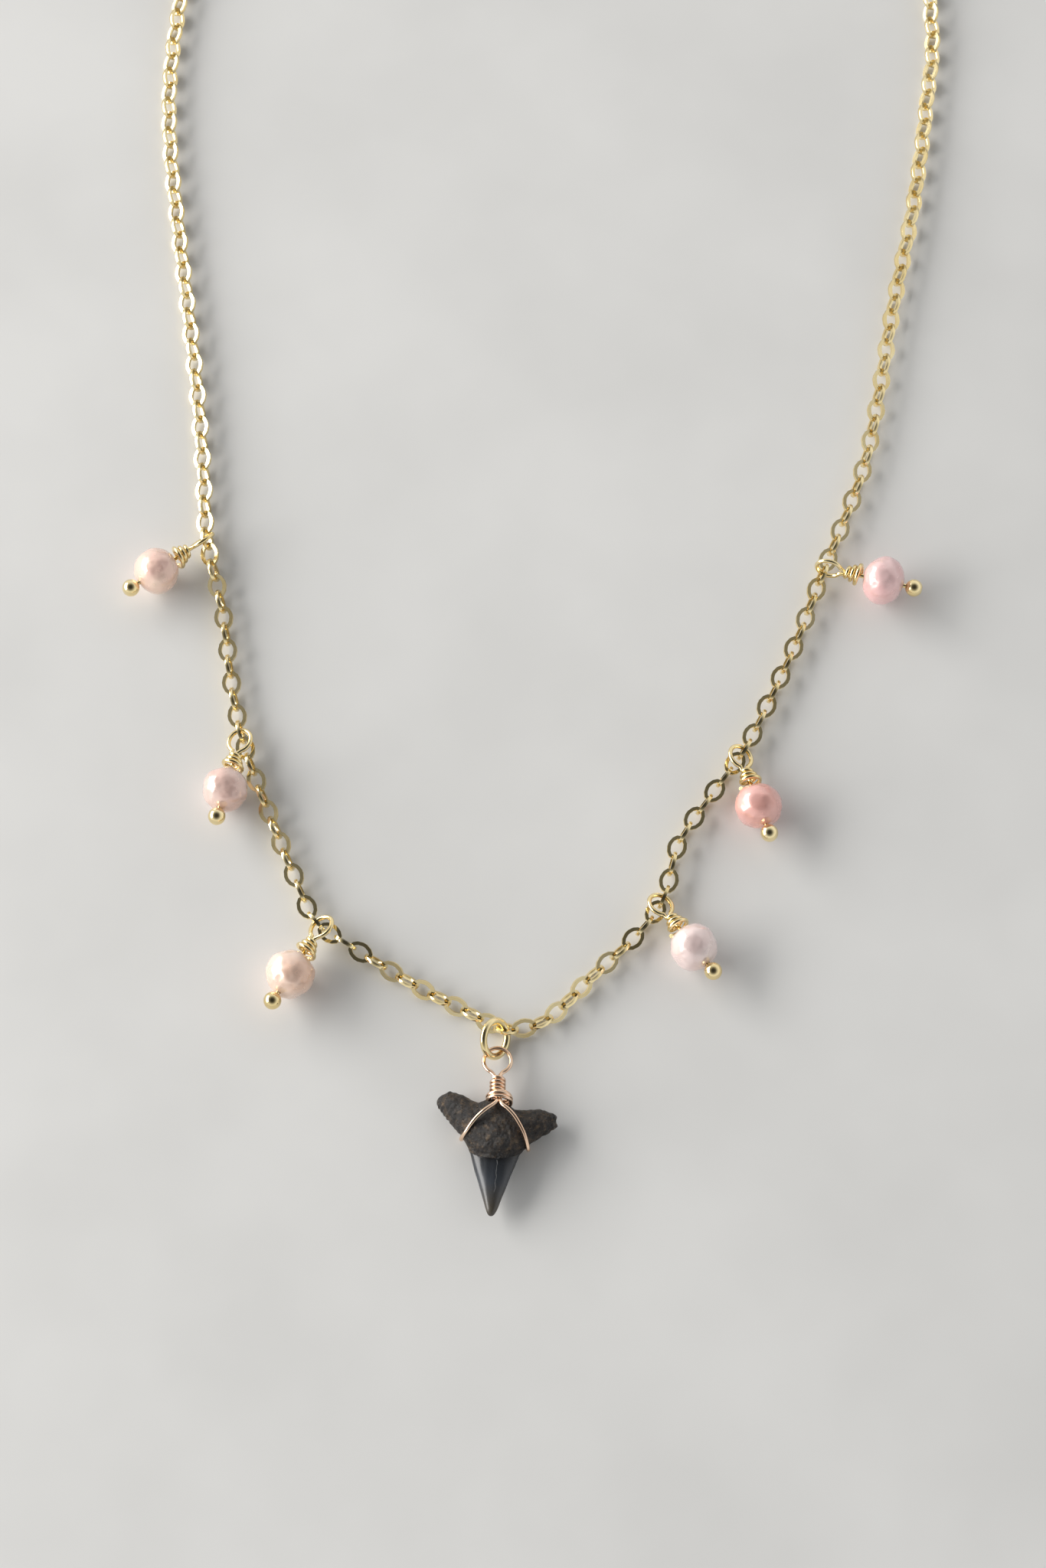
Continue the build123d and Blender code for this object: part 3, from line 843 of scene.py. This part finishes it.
def coilPath():
    shape = wireShape
    radius = (shape["loopWidth"] - shape["wire"]) / 2
    steps = shape["turnSteps"]
    opening = radians(shape["loopOpening"])
    start = shape["narrowStart"]
    path = [(shape["coilEnd"] - shape["endInset"], *shape["stemIn"][0][1:])]
    path += [(start + below, aside, up) for below, aside, up in shape["stemIn"]]
    for k in range(shape["loopSteps"] + 1):
        turn = -opening - (tau - 2 * opening) * k / shape["loopSteps"]
        stretch = shape["loopStretch"] if cos(turn) < 0 else 1
        path.append((radius * cos(turn) * stretch, radius * sin(turn), 0))
    path += [(start + below, aside, up) for below, aside, up in shape["stemOut"]]
    narrowPitch = (shape["wideStart"] - start) / shape["narrowTurns"]
    widePitch = (shape["coilEnd"] - shape["wire"] / 2 - shape["wideStart"]) / shape["wideTurns"]
    x = start + shape["wire"] / 2
    for k in range((shape["narrowTurns"] + shape["wideTurns"]) * steps - steps // 2):
        turn = radians(shape["coilFrom"]) + tau * k / steps
        share = eased(k / steps, shape["narrowTurns"], shape["widening"])
        out = between(shape["narrowRadius"], shape["wideRadius"], share)
        aside = between(shape["narrowAside"], shape["wideAside"], share)
        x += between(narrowPitch, widePitch, share) / steps
        path.append((x, aside - out * cos(turn), out * sin(turn)))
    return path


# smooth points through chosen ones
def smoothThrough(points, steps):
    line = [Vector(point) for point in points]
    line = [line[0] * 2 - line[1]] + line + [line[-1] * 2 - line[-2]]
    path = []
    for a, b, c, d in zip(line, line[1:], line[2:], line[3:]):
        for k in range(steps):
            t = k / steps
            path.append(0.5 * (2 * b + (c - a) * t + (2 * a - 5 * b + 4 * c - d) * t ** 2
                               + (3 * b - a - 3 * c + d) * t ** 3))
    return path + [line[-2]]


def legPath(loopPlace, basePlace):
    shape = wireShape
    toBase = basePlace.inverted() @ loopPlace
    top = shape["coilEnd"] - shape["endInset"]
    first, last = [(toBase @ (Vector((top, side, shape["legRise"])) * mm)) / mm
                   for side in shape["legStarts"]]
    return smoothThrough([first, *shape["legs"], last], shape["legSteps"])


def buildToothWire(basePlace):
    place = wirePlace()
    coil = bendWire("toothWire", coilPath(), wireShape["wire"])
    putAt(coil, place)
    legs = bendWire("toothLegs", legPath(place, basePlace), wireShape["wire"])
    putAt(legs, basePlace)
    wire = joinPieces([coil, legs], "toothWire")
    smooth(wire)
    return wire


toothWire = buildToothWire(toothPlace)
dress(toothWire, roseGold, "tooth_wire")
print("tooth wire made")

# floor, light and camera

stageLook = {"floorColours": ((0.735, 0.733, 0.72), (0.785, 0.783, 0.77)), "floorCloud": (40, 3),
             "floorSize": 3.0, "floorShader": {"Roughness": 0.9},
             "window": (-1.0, 0.15, 0.42), "windowSize": (1.5, 0.6), "windowPower": 19.0,
             "windowColour": (1.0, 0.98, 0.95),
             "darkAim": (0.0, -0.20, 1.0),
             # from the horizon to the dark patch overhead
             "skyStops": [(0.18, (1.0, 1.0, 1.0)), (0.50, (0.84, 0.85, 0.86)), (0.70, (0.40, 0.40, 0.40)),
                          (0.86, (0.12, 0.12, 0.11)), (0.96, (0.04, 0.04, 0.04))],
             "skyPower": 0.88}
cameraLook = {"aim": (-3.5, -45.0, 0.0), "distance": 470.0, "elevation": 68.3, "lens": 100.0,
              "sensor": 36.0, "nearest": 0.01}


def buildFloor():
    look = stageLook
    clearSelection()
    bpy.ops.mesh.primitive_plane_add(size=look["floorSize"])
    floor = bpy.context.object
    floor.name = "floor"
    finish, tree, shader, place = newFinish("paleFloor", look["floorShader"])
    colour = clouded(tree, place, look["floorCloud"], *look["floorColours"])
    tree.links.new(colour, shader.inputs["Base Color"])
    floor.data.materials.append(finish)


def addWindowLight():
    look = stageLook
    light = bpy.data.lights.new("windowLight", "AREA")
    light.shape = "RECTANGLE"
    light.size, light.size_y = look["windowSize"]
    light.energy = look["windowPower"]
    light.color = look["windowColour"]
    holder = addObject("windowLight", light)
    holder.location = look["window"]
    aim = Vector(cameraLook["aim"]) * mm
    holder.rotation_euler = (aim - Vector(look["window"])).to_track_quat("-Z", "Y").to_euler()


def addCamera():
    look = cameraLook
    camera = bpy.data.cameras.new("camera")
    camera.sensor_fit = "VERTICAL"
    camera.sensor_height = look["sensor"]
    camera.lens = look["lens"]
    camera.clip_start = look["nearest"]
    holder = addObject("camera", camera)
    tilt = radians(look["elevation"])
    back = Vector((0, -cos(tilt), sin(tilt))) * look["distance"] * mm
    holder.location = Vector(look["aim"]) * mm + back
    holder.rotation_euler = (pi / 2 - tilt, 0, 0)
    bpy.context.scene.camera = holder


# pale all round the room and dark overhead, which gives the metal its contrast
def buildSky():
    world = bpy.data.worlds.new("softSky")
    bpy.context.scene.world = world
    world.use_nodes = True
    tree = world.node_tree
    sky = tree.nodes["Background"]
    reach = tree.nodes.new("ShaderNodeVectorMath")
    reach.operation = "DOT_PRODUCT"
    reach.inputs[1].default_value = Vector(stageLook["darkAim"]).normalized()
    tree.links.new(tree.nodes.new("ShaderNodeTexCoord").outputs["Generated"], reach.inputs[0])
    tree.links.new(ramp(tree, reach.outputs["Value"], stageLook["skyStops"]), sky.inputs["Color"])
    sky.inputs["Strength"].default_value = stageLook["skyPower"]


buildFloor()
buildSky()
addWindowLight()
bpy.context.scene.view_settings.view_transform = "Standard"
addCamera()
print("stage ready")
